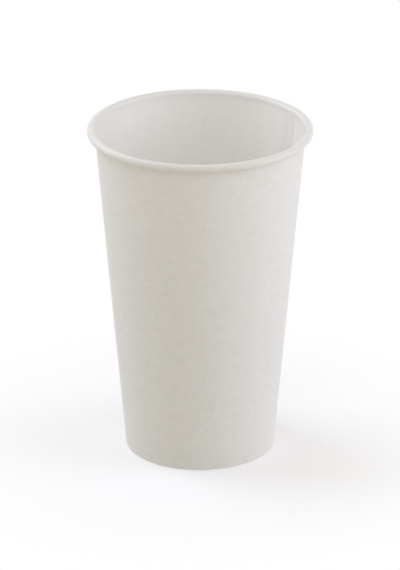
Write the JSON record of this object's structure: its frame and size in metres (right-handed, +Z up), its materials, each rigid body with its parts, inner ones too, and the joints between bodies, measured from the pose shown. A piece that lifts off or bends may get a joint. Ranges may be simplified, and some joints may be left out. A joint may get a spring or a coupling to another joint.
{
  "type": "paper coffee cup",
  "caption": "Plain white single-wall paper hot-drink cup with a rolled rim, a lapped side seam, a folded-up foot and a recessed sealed-in bottom.",
  "frame": {"origin": "centre of the foot's underside, on the surface that the cup stands on", "axes": "+Z up along the cup's axis, from the foot to the rim; the side seam lies about 25 to 36 degrees round from +X towards +Y"},
  "size_m": [0.09, 0.09, 0.1361],
  "materials": {
    "wall_board": "bleached board, uncoated matt outside, thin satin plastic lining inside",
    "bottom_board": "bleached board, thin satin plastic lining on the upper face, uncoated matt below"
  },
  "bodies": {
    "root": {"side_wall": "wall_board", "bottom": "bottom_board"}
  },
  "joints": []
}
